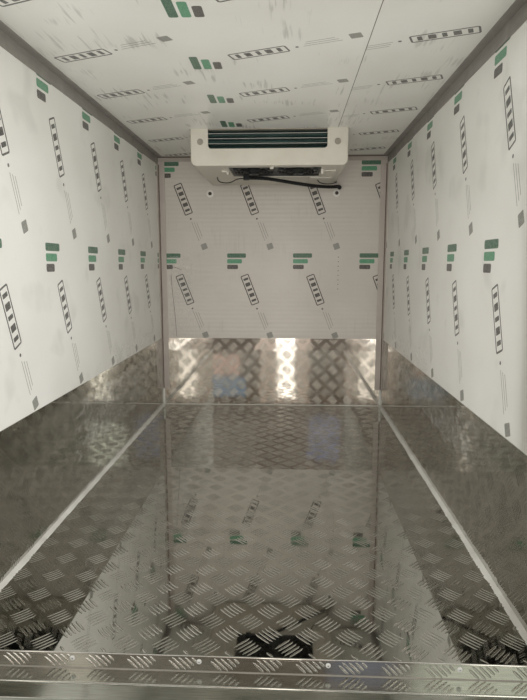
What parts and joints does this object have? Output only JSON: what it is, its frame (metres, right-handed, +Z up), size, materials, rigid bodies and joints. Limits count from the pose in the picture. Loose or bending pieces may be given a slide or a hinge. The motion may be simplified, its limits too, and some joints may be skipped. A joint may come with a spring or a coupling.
{
  "type": "refrigerated box body of a small truck",
  "caption": "Insulated load box for a small refrigerated truck, with tread-plate floor, ceiling evaporator, nose condenser and rear doors.",
  "frame": {"origin": "centre of the four chassis bolts, on the underside of the runners", "axes": "+Y towards the cab, +Z up, +X to the right of the load space seen from its doors"},
  "size_m": [1.359, 2.082, 1.341],
  "materials": {
    "white_skin": "glass-reinforced polyester skins on foam, protective film still on inside",
    "tread_plate": "five-bar aluminium tread plate, bright rolled",
    "angle_aluminium": "matt aluminium angle",
    "rail_aluminium": "satin anodised aluminium",
    "frame_steel": "brushed stainless steel",
    "subframe_paint": "black chassis paint",
    "unit_shell": "moulded white plastic",
    "black_plastic": "moulded black plastic",
    "coil_fins": "coated aluminium fins",
    "zinc_steel": "zinc-plated steel",
    "guard_steel": "black coated steel wire",
    "black_rubber": "moulded rubber",
    "sealant": "white sealant, tooled by hand",
    "loom_tape": "black foam sleeve and tape"
  },
  "bodies": {
    "box": {"left_runner": "subframe_paint", "right_runner": "subframe_paint", "cross_bearers": "subframe_paint", "floor_panel": "white_skin", "left_wall_panel": "white_skin", "right_wall_panel": "white_skin", "front_panel": "white_skin", "roof_panel": "white_skin", "floor_tread_plate": "tread_plate", "side_kick_plates": "tread_plate", "front_kick_plate": "tread_plate", "ceiling_side_angles": "angle_aluminium", "ceiling_front_angle": "angle_aluminium", "corner_angles": "angle_aluminium", "floor_sealant": "sealant", "rear_sill": "frame_steel", "left_rear_post": "frame_steel", "right_rear_post": "frame_steel", "rear_header": "frame_steel", "roof_rail": "rail_aluminium", "front_corner_rails": "rail_aluminium", "base_rail": "rail_aluminium", "evaporator_shell": "unit_shell", "evaporator_louvres": "rail_aluminium", "evaporator_coil": "coil_fins", "evaporator_fan_plate": "black_plastic", "evaporator_loom": "loom_tape", "fan_wires": "loom_tape", "loom_fittings": "black_plastic", "bulkhead_bolts": "zinc_steel", "condenser_rails": "zinc_steel", "condenser_back": "zinc_steel", "condenser_case": "unit_shell", "condenser_coil": "coil_fins", "condenser_motors": "black_plastic", "condenser_guards": "guard_steel", "hinge_brackets": "frame_steel", "lock_keepers": "zinc_steel", "door_buffers": "black_rubber", "door_catches": "zinc_steel"},
    "right_door": {"right_door_leaf": "white_skin", "right_door_gasket": "black_rubber", "right_hinge_straps": "frame_steel", "right_lock_gear": "zinc_steel"},
    "left_door": {"left_door_leaf": "white_skin", "left_door_gasket": "black_rubber", "left_hinge_straps": "frame_steel", "left_lock_gear": "zinc_steel"},
    "left_evaporator_fan": {"evaporator_fan_left": "black_plastic"},
    "right_evaporator_fan": {"evaporator_fan_right": "black_plastic"},
    "left_condenser_fan": {"condenser_fan_left": "black_plastic"},
    "right_condenser_fan": {"condenser_fan_right": "black_plastic"}
  },
  "joints": [
    {"name": "right_door_swing", "type": "hinge", "parent": "box", "child": "right_door", "pos_m": [0.59, -0.955, 0.7255], "axis": [0, 0, 1], "range_deg": [-270, 0]},
    {"name": "left_door_swing", "type": "hinge", "parent": "box", "child": "left_door", "pos_m": [-0.59, -0.955, 0.7255], "axis": [0, 0, 1], "range_deg": [0, 270]},
    {"name": "left_evaporator_fan_spin", "type": "hinge", "parent": "box", "child": "left_evaporator_fan", "pos_m": [-0.0575, 0.4975, 1.175], "axis": [0, 0, 1], "continuous": true},
    {"name": "right_evaporator_fan_spin", "type": "hinge", "parent": "box", "child": "right_evaporator_fan", "pos_m": [0.1075, 0.4975, 1.175], "axis": [0, 0, 1], "continuous": true},
    {"name": "left_condenser_fan_spin", "type": "hinge", "parent": "box", "child": "left_condenser_fan", "pos_m": [-0.159, 1.05, 0.995], "axis": [0, 1, 0], "continuous": true},
    {"name": "right_condenser_fan_spin", "type": "hinge", "parent": "box", "child": "right_condenser_fan", "pos_m": [0.171, 1.05, 0.995], "axis": [0, 1, 0], "continuous": true}
  ]
}
